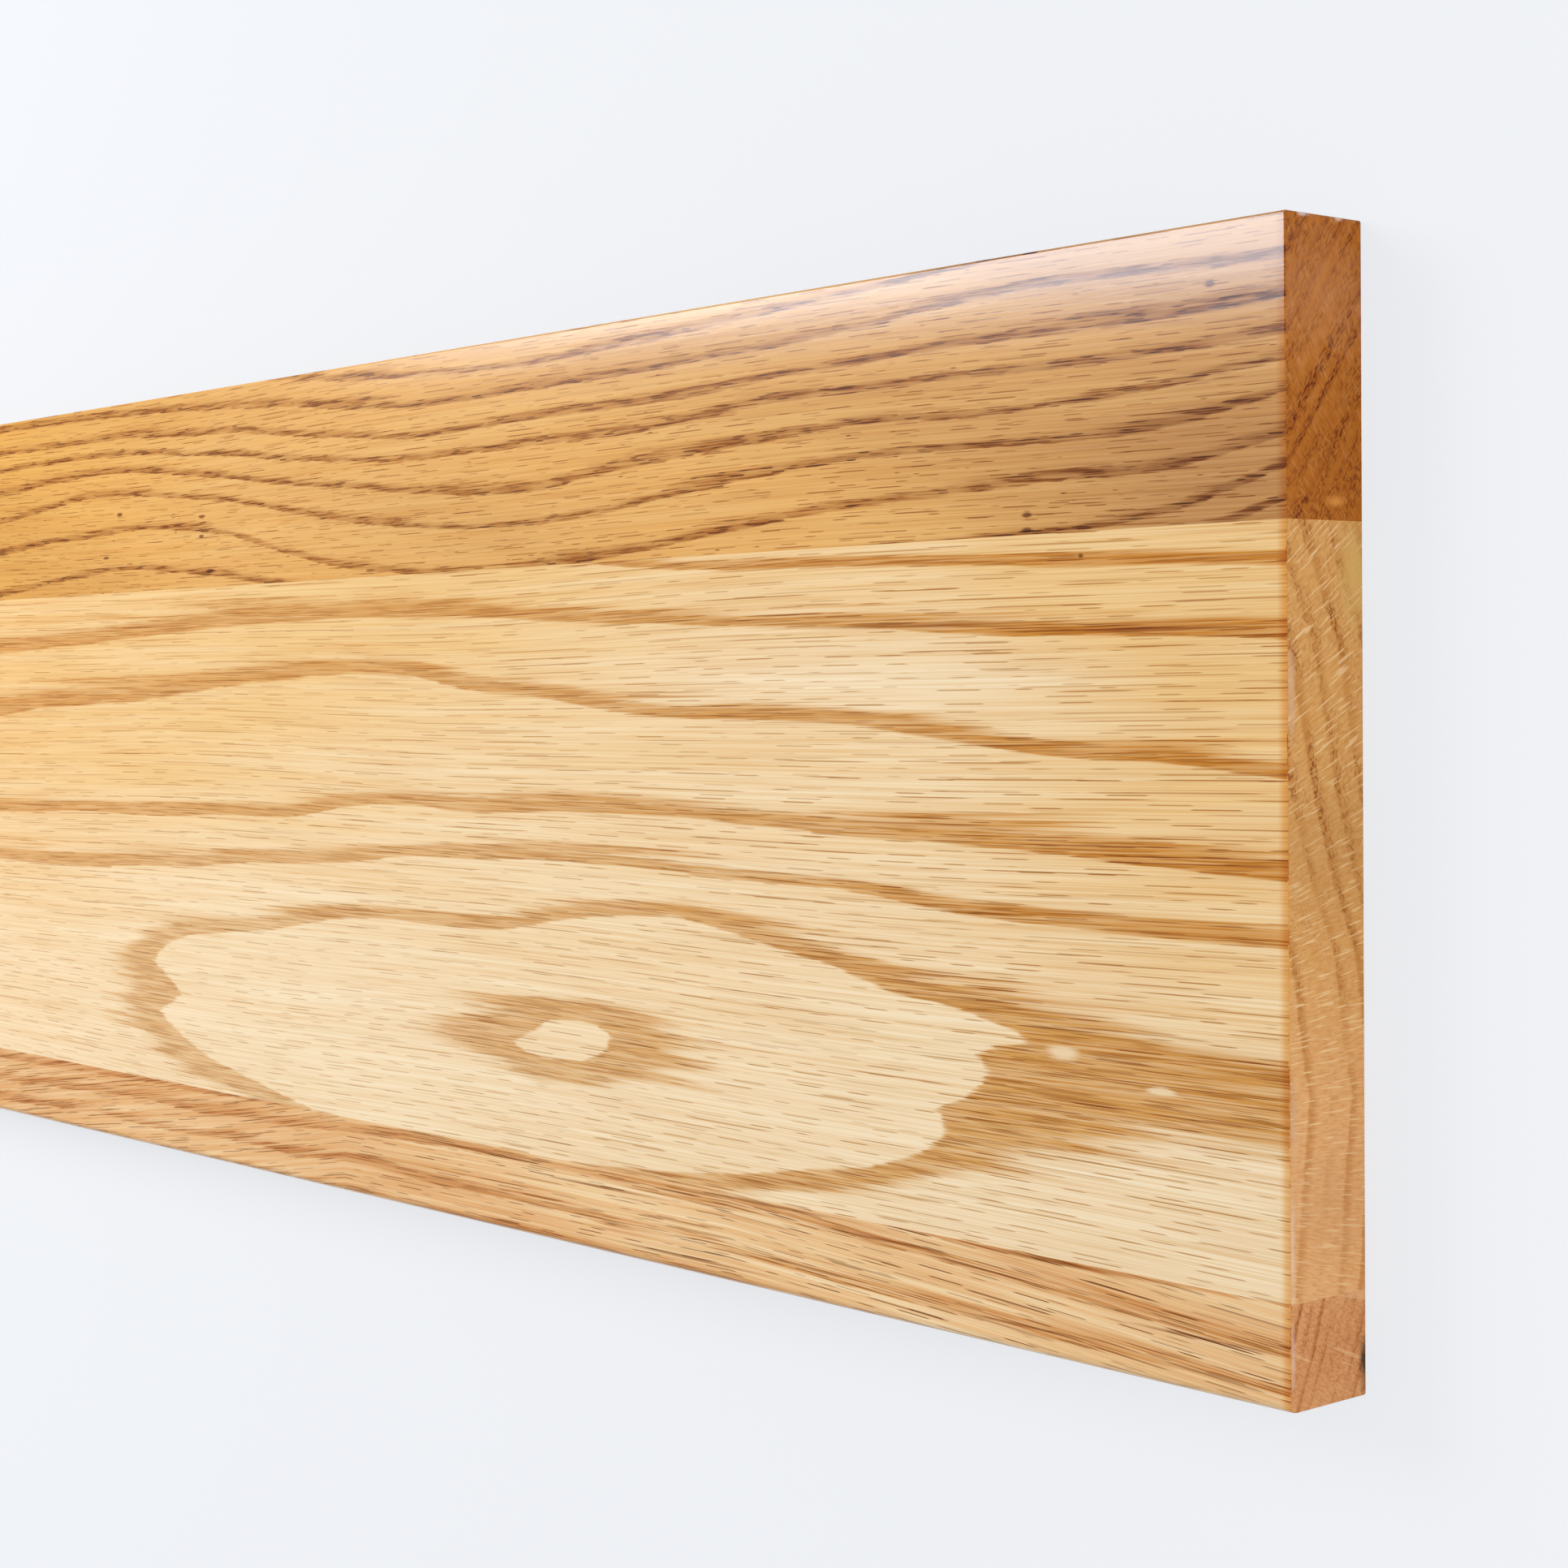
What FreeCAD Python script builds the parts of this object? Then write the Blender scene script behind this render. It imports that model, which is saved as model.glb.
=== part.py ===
import FreeCAD, Part
import os
import Sketcher

# Red oak stair riser board: three staves edge-glued side by side, planed, cut to length and sanded.
# It lies on its back face. X runs along the board, Y across it towards the upper edge when it is fitted,
# and Z out of the show face. The origin is the middle of the back face. All sizes are in millimetres.

# Driving sizes: the name of the cell, its value and what it measures.
SIZES = [
    ("board_length", 1066.8, "stock length of 42 inches, cut square at both ends"),
    ("board_thickness", 19.05, "3/4 inch, from the back face to the show face"),
    ("upper_stave_width", 48.3, "dark stave with close rings, from its glue line to the upper edge"),
    ("middle_stave_width", 124.7, "pale flat-sawn stave, from glue line to glue line"),
    ("lower_stave_width", 17.5, "narrow orange stave, from the lower edge to its glue line"),
    ("lower_front_round", 1.5, "radius along the lower edge of the show face"),
    ("arris_ease", 0.4, "radius of every other arris, broken with sandpaper"),
]

# The staves from the lower edge upwards, and the cell that holds the width of each.
STAVES = [
    ("lower_stave", "lower_stave_width"),
    ("middle_stave", "middle_stave_width"),
    ("upper_stave", "upper_stave_width"),
]
BOTTOM_STAVE = STAVES[0][0]
TOP_STAVE = STAVES[-1][0]
BOARD_WIDTH = " + ".join(f"sizes.{width_cell}" for _, width_cell in STAVES)

# Two lengths nearer than this are the same.
SAME = 1e-6

doc = FreeCAD.newDocument("stair_riser")


def make_sheet():
    """The sheet of driving sizes, one named cell in each row."""
    sheet = doc.addObject("Spreadsheet::Sheet", "sizes")
    for row, (name, value, meaning) in enumerate(SIZES, start=1):
        sheet.set(f"A{row}", name)
        sheet.set(f"B{row}", str(value))
        sheet.set(f"C{row}", meaning)
        sheet.setAlias(f"B{row}", name)
    doc.recompute()
    return sheet


def origin_plane(body, role):
    """One of the body's own origin planes."""
    return next(feature for feature in body.Origin.OriginFeatures if feature.Role == role)


def add_section(body, width_cell):
    """The stave's section: a rectangle that stands on the back face, with its lower side on the Z axis."""
    sketch = body.newObject("Sketcher::SketchObject", f"{body.Label}_section")
    sketch.AttachmentSupport = (origin_plane(body, "YZ_Plane"), [""])
    sketch.MapMode = "FlatFace"
    width = getattr(doc.sizes, width_cell)
    thickness = doc.sizes.board_thickness
    corners = [(0, 0), (width, 0), (width, thickness), (0, thickness)]
    points = [FreeCAD.Vector(across, up, 0) for across, up in corners]
    back, upper, front, lower = range(4)
    for start, end in zip(points, points[1:] + points[:1]):
        sketch.addGeometry(Part.LineSegment(start, end))
    for line, following in ((back, upper), (upper, front), (front, lower), (lower, back)):
        sketch.addConstraint(Sketcher.Constraint("Coincident", line, 2, following, 1))
    for line in (back, front):
        sketch.addConstraint(Sketcher.Constraint("Horizontal", line))
    for line in (upper, lower):
        sketch.addConstraint(Sketcher.Constraint("Vertical", line))
    sketch.addConstraint(Sketcher.Constraint("Coincident", back, 1, -1, 1))
    across = sketch.addConstraint(Sketcher.Constraint("DistanceX", back, 1, back, 2, width))
    up = sketch.addConstraint(Sketcher.Constraint("DistanceY", upper, 1, upper, 2, thickness))
    sketch.renameConstraint(across, "width")
    sketch.renameConstraint(up, "thickness")
    sketch.setExpression("Constraints.width", f"sizes.{width_cell}")
    sketch.setExpression("Constraints.thickness", "sizes.board_thickness")
    return sketch


def add_length(body, sketch):
    """The section drawn out along the board, the same each way from the middle."""
    pad = body.newObject("PartDesign::Pad", f"{body.Label}_length")
    pad.Profile = sketch
    pad.SideType = "Symmetric"
    pad.setExpression("Length", "sizes.board_length")
    doc.recompute()
    return pad


def add_round(body, base, edges, radius_cell, name):
    """A radius on the named edges of the stave so far."""
    fillet = body.newObject("PartDesign::Fillet", f"{body.Label}_{name}")
    fillet.Base = (base, edges)
    fillet.setExpression("Radius", f"sizes.{radius_cell}")
    doc.recompute()
    return fillet


def lies_at(edge, **place):
    """Whether every end of the edge has the given coordinates."""
    return all(abs(getattr(vertex, axis) - value) < SAME
               for vertex in edge.Vertexes for axis, value in place.items())


def is_arris(shape, edge):
    """Whether the two faces that meet along the edge turn a corner there."""
    middle = edge.valueAt((edge.FirstParameter + edge.LastParameter) / 2)
    normals = [face.normalAt(*face.Surface.parameter(middle))
               for face in shape.ancestorsOfType(edge, Part.Face)]
    return normals[0].cross(normals[1]).Length > SAME


def free_arrises(shape, glue_lines):
    """The names of the arrises that a hand can reach, away from the stave's glued sides."""
    return [f"Edge{number}" for number, edge in enumerate(shape.Edges, start=1)
            if is_arris(shape, edge) and not any(lies_at(edge, Y=line) for line in glue_lines)]


def make_stave(name, width_cell, cells_below):
    """One stave, planed and eased, in its place above the staves below it."""
    body = doc.addObject("PartDesign::Body", name)
    body.Label = name
    width = getattr(doc.sizes, width_cell)
    stave = add_length(body, add_section(body, width_cell))
    if name == BOTTOM_STAVE:
        lower_front = [f"Edge{number}" for number, edge in enumerate(stave.Shape.Edges, start=1)
                       if lies_at(edge, Y=0, Z=doc.sizes.board_thickness)]
        stave = add_round(body, stave, lower_front, "lower_front_round", "front_round")
    glue_lines = []
    if name != BOTTOM_STAVE:
        glue_lines.append(0)
    if name != TOP_STAVE:
        glue_lines.append(width)
    arrises = free_arrises(stave.Shape, glue_lines)
    add_round(body, stave, arrises, "arris_ease", "eased_arrises")
    below = "".join(f" + sizes.{cell}" for cell in cells_below)
    body.setExpression("Placement.Base.y", f"-({BOARD_WIDTH}) / 2{below}")
    return body


def check(objects, staves):
    """Stops where an object of the document failed or a stave isn't one sound solid."""
    for item in objects:
        if "Invalid" in item.State or "Error" in item.State:
            raise RuntimeError(f"{item.Label} failed: {item.State}")
    for stave in staves:
        if stave.Shape.isNull() or not stave.Shape.isValid() or len(stave.Shape.Solids) != 1:
            raise RuntimeError(f"{stave.Label} is not one sound solid")


make_sheet()
staves = []
for place, (name, width_cell) in enumerate(STAVES):
    cells_below = [cell for _, cell in STAVES[:place]]
    staves.append(make_stave(name, width_cell, cells_below))
doc.recompute()
check(doc.Objects, staves)

os.makedirs("parts", exist_ok=True)
for stave in staves:
    stave.Shape.exportStep(f"parts/{stave.Label}.step")
    box = stave.Shape.optimalBoundingBox()
    print(f"{stave.Label}: X {box.XMin:.2f} to {box.XMax:.2f}, Y {box.YMin:.2f} to {box.YMax:.2f}, "
          f"Z {box.ZMin:.2f} to {box.ZMax:.2f}, {stave.Shape.Volume / 1000:.1f} cubic cm")
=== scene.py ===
import math

import bmesh
import bpy
import numpy as np
from mathutils import Matrix, Vector


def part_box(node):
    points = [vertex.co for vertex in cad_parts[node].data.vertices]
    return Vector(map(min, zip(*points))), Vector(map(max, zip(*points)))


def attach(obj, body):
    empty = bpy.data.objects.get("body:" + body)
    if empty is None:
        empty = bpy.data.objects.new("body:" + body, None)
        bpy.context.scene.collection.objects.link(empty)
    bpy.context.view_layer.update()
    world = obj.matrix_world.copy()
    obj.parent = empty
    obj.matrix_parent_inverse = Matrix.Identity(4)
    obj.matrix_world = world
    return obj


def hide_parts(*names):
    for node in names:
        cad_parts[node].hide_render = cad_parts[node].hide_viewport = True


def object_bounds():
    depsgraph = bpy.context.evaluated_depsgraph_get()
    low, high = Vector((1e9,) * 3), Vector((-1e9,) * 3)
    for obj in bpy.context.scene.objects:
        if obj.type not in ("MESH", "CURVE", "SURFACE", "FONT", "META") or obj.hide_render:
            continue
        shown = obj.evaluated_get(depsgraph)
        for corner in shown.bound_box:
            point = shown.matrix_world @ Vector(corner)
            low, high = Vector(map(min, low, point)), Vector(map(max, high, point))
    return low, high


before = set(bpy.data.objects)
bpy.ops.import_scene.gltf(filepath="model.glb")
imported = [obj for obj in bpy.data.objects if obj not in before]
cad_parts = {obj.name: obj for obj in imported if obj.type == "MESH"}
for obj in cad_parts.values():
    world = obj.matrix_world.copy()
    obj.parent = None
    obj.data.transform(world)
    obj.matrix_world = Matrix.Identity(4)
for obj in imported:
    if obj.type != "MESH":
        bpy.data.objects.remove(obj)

# A red oak stair riser board, edge-glued from three staves, sanded and finished with clear satin lacquer.
# It lies on its back face, and the camera looks down on the show face and the square-sawn right end.
# Lengths are in millimetres where a name or comment says so, and otherwise in metres.

MM = 0.001
cad_low, cad_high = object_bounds()
THICKNESS = (cad_high.z - cad_low.z) / MM
RIGHT_END = cad_high.x / MM
LOWER_EDGE = cad_low.y / MM
ARRIS = 0.4             # radius of the sanded arrises, mm
LOWER_FRONT_ROUND = 1.5  # radius along the lower edge of the show face, mm

# The year rings as the show face cuts them. A place along the board is measured in mm from the right end,
# so it is negative, and a height in mm from the lower edge. Each ring line has its heights at stations
# 25 mm apart, from the right end to 450 mm, and then at stations 100 mm apart to the left end.
SEEN_STATIONS = [-25.0 * step for step in range(19)]
FAR_STATIONS = [-550.0, -650.0, -750.0, -850.0, -950.0, -1067.0]
STATIONS = SEEN_STATIONS + FAR_STATIONS

# Upper stave: close lines, from the lowest. Far from the right end they all follow one gentle wave.
UPPER_LINES = [
    [145, 138, 135, 134, 133, 132, 130, 128, 127, 127, 128, 130, 133, 136.5, 138, 139, 138, 136, 134],
    [150, 144, 141.8, 141, 140, 139, 137, 135, 134, 134, 135, 137, 140, 143.5, 145.6, 147.5, 146.8, 145,
     143],
    [155, 151.2, 150.8, 150, 149, 147.3, 144.9, 142.8, 141.5, 141, 142, 144.2, 148.4, 153.6, 156.4, 157.4,
     156.6, 156, 154],
    [162, 158, 157.3, 157.8, 157.6, 156.4, 154.3, 152.2, 150.8, 150.9, 152.4, 155, 158.4, 162, 164.4, 166.4,
     167, 165, 162.9],
    [166.9, 164.6, 163.3, 163.2, 164, 162.8, 161.6, 160.1, 157.7, 158.2, 160, 162.7, 164.7, 167.7, 170.1,
     172.2, 172.7, 171.7, 170.3],
    [171, 170, 169.9, 170.2, 170, 169.9, 168.2, 167.2, 167.3, 167.1, 167.3, 168.6, 170.5, 173.2, 174.9,
     176.9, 177.4, 177.2, 176.8],
    [176.6, 175.7, 175.6, 175.8, 175, 174.4, 172.9, 172.7, 172.8, 172.1, 172, 174, 176.2, 178.8, 179.6,
     181.1, 181.4, 181.4, 181.4],
    [182.8, 183.1, 184, 183.2, 181.4, 180.3, 179.7, 179.1, 178.9, 178.5, 178.9, 180.6, 183.2, 184.5, 185.9,
     186.8, 187.2, 187.6, 187.7],
    [190, 190.5, 190, 189.2, 187.9, 186.8, 185.7, 184.9, 184.2, 184.6, 185.6, 187, 189.4, 191.5, 193, 193.8,
     194, 194, 194],
]
UPPER_WAVE = [-3.0, 1.0, 5.0, 3.0, -2.0, -5.0]

# Middle stave: the open lines above the long closed loop, from the lowest, and the same ring where it comes
# back below the loop, mostly under the glue line.
MIDDLE_LINES = [
    [74, 74.2, 74.6, 75.6, 77.8, 78.6, 79.2, 80, 80.2, 79.2, 79, 76.6, 75.2, 74.4, 72.4, 71.8, 70.3, 70,
     70.2, 64, 51, 30, 8, -15, -45],
    [84.6, 85.6, 87, 87.7, 88.2, 89.2, 90.3, 90.4, 90.2, 89.3, 90.4, 89.4, 86.4, 86, 85.2, 84.6, 84.9, 84.2,
     83.5, 79, 70, 55, 35, 12, -18],
    [100.6, 103, 103.8, 106, 108.8, 109.8, 110, 111.4, 114.5, 115.8, 119.7, 120.2, 119.1, 117.9, 116, 114,
     113.2, 112.6, 110.4, 106, 99, 88, 73, 55, 30],
    [123, 124.1, 124.3, 125.4, 127, 127.4, 128.6, 129.5, 130.4, 132, 132.2, 132.8, 132.4, 132, 131.2, 130.2,
     129, 128.2, 127.1, 125, 120, 112, 101, 88, 70],
    [134.6, 135.5, 136.2, 137.2, 138, 138.6, 139.2, 141, 144, 146, 147, 147.5, 147, 146, 145.5, 145.3, 145,
     145, 145, 143, 139, 132, 123, 112, 97],
]
MIDDLE_LOWER_LINE = [14, 15, 16, 16, 15, 13, 10, 7.5, 6, 5.5, 6, 8, 11.5, 13, 13.5, 13.5, 13, 12.5, 12,
                     8, 2, -6, -20, -40, -60]
# The eye, the loop round it and the tail from the loop to the right end: places along and across.
EYE = [(-210, 41), (-205, 43.2), (-200, 45), (-197, 46.6), (-188, 47.2), (-182, 46.6), (-179, 44.8),
       (-181, 41.8), (-188, 39.4), (-200, 38.9), (-207, 39.8)]
LOOP = [(-350, 55.3), (-333, 57), (-310, 58.9), (-290, 62), (-276, 63.8), (-261, 64.4), (-242, 63.9),
        (-222, 63.9), (-211, 64.9), (-198, 67), (-184, 69), (-170, 70.1), (-156, 70.8), (-146, 69.7),
        (-130, 67.2), (-110, 64.2), (-94, 60.3), (-76, 58.7), (-62, 55.9), (-60, 54.4), (-67, 53.3),
        (-73, 51), (-69, 48.7), (-72, 45.3), (-76, 42.6), (-83, 40.9), (-80.6, 36.4), (-83, 33.7),
        (-90, 30.8), (-101, 27.6), (-117, 25.3), (-137, 22), (-158, 19.8), (-179, 18.4), (-200, 17.3),
        (-240, 15.4), (-270, 15.6), (-290, 17.2), (-300, 18.7), (-320, 22), (-340, 25.3), (-350, 28.5),
        (-354, 30.3), (-361, 33.1), (-365, 35.6), (-359, 37.6), (-353, 40.9), (-357, 42.6), (-363, 46.2),
        (-368, 47.6), (-364, 50.9), (-359, 53.1)]
LOOP_TAIL = [(-66, 51), (-45, 50.5), (20, 49)]
TAIL_ACROSS = 50.0      # middle of the tail, mm from the lower edge
TAIL_BELOW = 16.0       # how far its wide early wood fades out below that, mm
TAIL_ABOVE = 10.0       # and above it
TAIL_START = -88.0      # where it starts, mm from the right end
TAIL_GROWS = 42.0       # and the length it takes to grow to its full width, mm
GRAIN_STRETCH = 5.0     # a ring's nose is this much longer along the grain than across it
EYE_POINT = 1.25        # how pointed the ends of the rings are round the eye: 2 is round
CORE_RING = 12.0        # width of the ring inside the eye, and of those that come back under the loop, mm
PITH_ACROSS = 50.0      # where the tree's heart lies from the middle stave, mm from the lower edge
PITH_ABOVE = 115.0      # and mm above the show face
MIDDLE_RING = 5.3       # width of a ring on the end of the middle stave, mm
UPPER_LEAN = 0.8        # how steeply the upper stave's rings lean into the board
UPPER_RING = 5.0        # the same for the upper stave
LOWER_RING = 2.8        # and for the lower stave

# Lower stave: nearly flat-on to its rings, so three lines wander along it.
LOWER_LINES = [
    [2.6, 3, 3.2, 3.8, 4.3, 5.2, 6.3, 5.5, 6.5, 6.2, 6.5, 7, 5.5, 6, 5, 4.5, 5, 4, 3, 5, 6, 4, 5, 7, 6],
    [8.6, 9.6, 11.1, 12.4, 13.6, 14.3, 14, 14.5, 14.5, 15, 14.7, 14, 12.5, 12, 11, 11.5, 10.5, 9.5, 8.5, 11,
     13, 12, 11, 14, 13],
    [16.9, 16.5, 16.3, 16.6, 17.2, 17.4, 17.6, 17.8, 18, 18, 18, 17.8, 17, 16.5, 16, 16, 15.5, 15, 14.5, 16,
     17.5, 17, 16.5, 18, 18],
]

# How wide the porous early wood of each ring shows, in mm. The middle stave's rings have a width near the
# right end and a width far from it.
MIDDLE_BANDS = [(5.0, 5.0), (6.8, 6.8), (3.8, 5.0), (4.0, 4.6),
                (5.0, 4.4), (4.0, 6.0), (3.8, 6.0), (2.6, 3.0)]
TAIL_BAND = 15.0
UPPER_BAND = 2.2
LOWER_BAND = 3.0
END_BAND = 1.7
LONG_STEP = 3.4         # length of the mesh's faces along the board, mm


def smooth_height(heights, along):
    """A ring line's height at places along the board: a smooth curve through its stations."""
    knots = np.array(STATIONS[::-1])
    values = np.array(heights[::-1], float)
    slopes = np.gradient(values, knots)
    left = np.clip(np.searchsorted(knots, along) - 1, 0, len(knots) - 2)
    span = knots[left + 1] - knots[left]
    t = np.clip((along - knots[left]) / span, 0, 1)
    rise = t * t * (3 - 2 * t)
    bend_left = t * (1 - t) ** 2 * slopes[left]
    bend_right = t * t * (t - 1) * slopes[left + 1]
    return values[left] * (1 - rise) + values[left + 1] * rise + span * (bend_left + bend_right)


def distance_to(outline, along, across, power=2.0):
    """The distance to a chain of points, where a length along the grain counts for less.

    A power below 2 gives the lines of equal distance pointed ends along the grain."""
    best = np.full(along.shape, np.inf)
    place = np.stack([along / GRAIN_STRETCH, across])
    for (along_a, across_a), (along_b, across_b) in zip(outline, outline[1:]):
        start = np.array([along_a / GRAIN_STRETCH, across_a])
        step = np.array([along_b / GRAIN_STRETCH, across_b]) - start
        t = np.clip(((place - start[:, None]) * step[:, None]).sum(0) / (step @ step), 0, 1)
        gap = place - start[:, None] - step[:, None] * t
        best = np.minimum(best, (np.abs(gap) ** power).sum(0) ** (1 / power))
    return best


def is_inside(outline, along, across):
    """Whether places lie inside a closed outline."""
    inside = np.zeros(along.shape, bool)
    for (along_a, across_a), (along_b, across_b) in zip(outline, outline[1:] + outline[:1]):
        if across_a == across_b:
            continue
        crosses = (across_a > across) != (across_b > across)
        crossing = along_a + (across - across_a) * (along_b - along_a) / (across_b - across_a)
        inside ^= crosses & (along < crossing)
    return inside


def rings_between(lines, along, across, first, margin):
    """Ring number and the gap to the next line, for lines that lie one above the other."""
    heights = np.array([smooth_height(line, along) for line in lines])
    heights = np.concatenate([heights[:1] - margin, heights, heights[-1:] + margin])
    number = np.clip((across > heights).sum(0), 1, len(heights) - 1)
    below = np.take_along_axis(heights, number[None] - 1, 0)[0]
    above = np.take_along_axis(heights, number[None], 0)[0]
    gap = above - below
    return first + number - 2 + (across - below) / gap, gap


def middle_rings(along, across, depth):
    """Ring number, gap and band of the flat-sawn middle stave, at a depth below the show face."""
    first_open = 3
    number, gap = rings_between(MIDDLE_LINES, along, across, first_open, 14.0)
    to_eye = distance_to(EYE + EYE[:1], along, across, EYE_POINT)
    to_loop = distance_to(LOOP + LOOP[:1], along, across)
    to_loop_or_tail = np.minimum(to_loop, distance_to(LOOP_TAIL, along, across) + 1.5)
    lowest = smooth_height(MIDDLE_LINES[0], along)
    lower = smooth_height(MIDDLE_LOWER_LINE, along)
    to_third = np.minimum(np.abs(lowest - across), np.abs(across - lower)) + 0.5
    in_eye = is_inside(EYE, along, across)
    in_loop = is_inside(LOOP, along, across)
    around = (across < lowest) & (across > lower) & ~in_loop
    under = across <= lower
    number = np.where(around, 2 + to_loop_or_tail / (to_loop_or_tail + to_third), number)
    gap = np.where(around, to_loop_or_tail + to_third, gap)
    number = np.where(in_loop, 1 + to_eye / (to_eye + to_loop + 0.5), number)
    gap = np.where(in_loop, to_eye + to_loop + 0.5, gap)
    number = np.where(in_eye, 0.98 - np.minimum(to_eye / CORE_RING, 0.5), number)
    number = np.where(under, first_open + (lower - across) / CORE_RING, number)
    gap = np.where(in_eye | under, CORE_RING, gap)
    row = np.clip(np.floor(number).astype(int), 0, len(MIDDLE_BANDS) - 1)
    near, far = np.array(MIDDLE_BANDS)[row].T
    band = near + (far - near) * np.clip((-along - 200) / 150, 0, 1)
    from_tail = across - TAIL_ACROSS
    reach = np.where(from_tail < 0, TAIL_BELOW, TAIL_ABOVE)
    tail = around * np.clip((along - TAIL_START) / TAIL_GROWS, 0, 1) * np.exp(-(from_tail / reach) ** 2)
    band = band + tail * (TAIL_BAND - band)
    from_pith = np.hypot(across - PITH_ACROSS, PITH_ABOVE + depth)
    deeper = from_pith - np.hypot(across - PITH_ACROSS, PITH_ABOVE)
    return number + deeper / MIDDLE_RING, gap, band


def upper_rings(along, across, depth):
    """Ring number, gap and band of the upper stave, whose rings lean away from the show face."""
    lines = []
    for heights in UPPER_LINES:
        lines.append(heights + [heights[-1] + shift for shift in UPPER_WAVE])
    number, gap = rings_between(lines, along, across - depth / UPPER_LEAN, 1, 6.0)
    return number, gap, np.full(along.shape, UPPER_BAND)


def lower_rings(along, across, depth):
    """Ring number, gap and band of the lower stave, whose rings lie nearly flat under the show face."""
    number, gap = rings_between(LOWER_LINES, along, across, 1, 7.5)
    return number - depth / LOWER_RING, gap, np.full(along.shape, LOWER_BAND)


def middle_tint(along, across):
    """From 0 to 1: the middle stave is yellower towards its upper glue line.

    It is so most of all near the right end, and again far from it."""
    wave = 0.1 * np.sin(along / 37 + across / 9) + 0.08 * np.sin(along / 83 - across / 17)
    far = np.clip((-along - 120) / 300, 0, 1)
    near = np.clip((along + 80) / 60, 0, 1)
    pale_zone = 0.5 * np.exp(-((along + 110) / 90) ** 2 - ((across - 118) / 7) ** 2)
    tail = 0.12 * np.exp(-((across - 46) / 8) ** 2) * np.clip((along + 80) / 40, 0, 1)
    rise = ((across - 40) / 60 + wave) * (0.45 + 0.55 * np.maximum(far, near))
    return np.clip(rise - pale_zone + tail, 0, 1)


def upper_tint(along, across):
    """From 0 to 1: the upper stave is browner at the right end and a little far away, with painted shade under
    the glare.
    """
    wave = 0.1 * np.sin(along / 31 + across / 7) + 0.1 * np.sin(along / 71 - across / 11)
    near = np.clip((along + 150) / 130, 0, 1) ** 1.6 * (1 - 0.3 * np.clip((across - 158) / 14, 0, 1))
    far = 0.36 * np.clip((-along - 360) / 80, 0, 1) * np.clip((182 - across) / 12, 0, 1)
    # Painted shade: along the upper edge towards the right end, where the glare is mirrored, the stave is made
    # deeper so that the glare looks greyish-white. It darkens the top of the sawn end too.
    painted_shade_under_glare = 0.5 * np.clip((across - 176) / 8, 0, 1) * np.clip((along + 260) / 150, 0, 1)
    return np.clip(near + far + wave + painted_shade_under_glare, 0, 1)


def lower_tint(along, across):
    """From 0 to 1: the lower stave is deeper away from the right end, with slow changes along its length."""
    wave = 0.3 * np.sin(along / 43 + across / 5) + 0.1 * np.sin(along / 97)
    return np.clip(0.45 + wave - (along + 200) / 500, 0, 1)


def stave_stations(long_step):
    """Places along a stave and how far its section is drawn in there, in mm: ends, arrises and length."""
    half = (cad_high.x - cad_low.x) / MM / 2
    end = []
    for inset in np.linspace(THICKNESS / 2, ARRIS, 9):
        end.append((half, inset))
    for turn in np.radians([22.5, 45.0, 67.5]):
        end.append((half - ARRIS * (1 - math.cos(turn)), ARRIS * (1 - math.sin(turn))))
    count = round(2 * half / long_step)
    length = [(x, 0.0) for x in np.linspace(-half + ARRIS, half - ARRIS, count)]
    return [(-x, inset) for x, inset in end] + length + end[::-1]


def stave_section(low, high, rounds, counts, inset):
    """A stave's outline at one station: y and z in mm, from the lower front corner along the front.

    A side with no round is glued to the next stave, so it isn't drawn in."""
    lower_front, upper_front, upper_back, lower_back = rounds
    low = low + (inset if lower_back else 0)
    high = high - (inset if upper_back else 0)
    top = THICKNESS - inset
    corners = [(low, top, lower_front), (high, top, upper_front), (high, inset, upper_back),
               (low, inset, lower_back)]
    outline = []
    for turn, (y, z, radius) in enumerate(corners):
        radius = max(radius - inset, 0)
        towards_y = 1 if y == low else -1
        towards_z = 1 if z == inset else -1
        for angle in np.radians(np.linspace(180, 90, 5) - 90 * turn):
            outline.append((y + radius * (towards_y + math.cos(angle)),
                            z + radius * (towards_z + math.sin(angle))))
        next_y, next_z, next_radius = corners[(turn + 1) % 4]
        start = np.array(outline[-1])
        next_radius = max(next_radius - inset, 0)
        side = np.array([next_y, next_z]) - np.array([y, z])
        end = np.array([next_y, next_z]) - next_radius * np.sign(side)
        for share in np.linspace(0, 1, counts[turn % 2] + 2)[1:-1]:
            outline.append(tuple(start + (end - start) * share))
    return outline


def stave_mesh(name, rounds, across_step, long_step):
    """A closed mesh of the stave: sections along the board, drawn in at the ends to close them."""
    lowest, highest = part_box(name)
    low, high = lowest.y / MM, highest.y / MM
    counts = [round((high - low) / across_step), 12]
    stations = stave_stations(long_step)
    sections = [stave_section(low, high, rounds, counts, inset) for _, inset in stations]
    around = len(sections[0])
    places = [(x * MM, y * MM, z * MM)
              for (x, _), section in zip(stations, sections) for y, z in section]
    faces = []
    for row in range(len(stations) - 1):
        for here in range(around):
            there = (here + 1) % around
            faces.append((row * around + here, (row + 1) * around + here,
                          (row + 1) * around + there, row * around + there))
    mesh = bpy.data.meshes.new(name + "_oak")
    mesh.from_pydata(places, [], faces)
    shape = bmesh.new()
    shape.from_mesh(mesh)
    bmesh.ops.remove_doubles(shape, verts=shape.verts, dist=0.002 * MM)
    bmesh.ops.recalc_face_normals(shape, faces=shape.faces)
    shape.to_mesh(mesh)
    shape.free()
    return mesh


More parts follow.
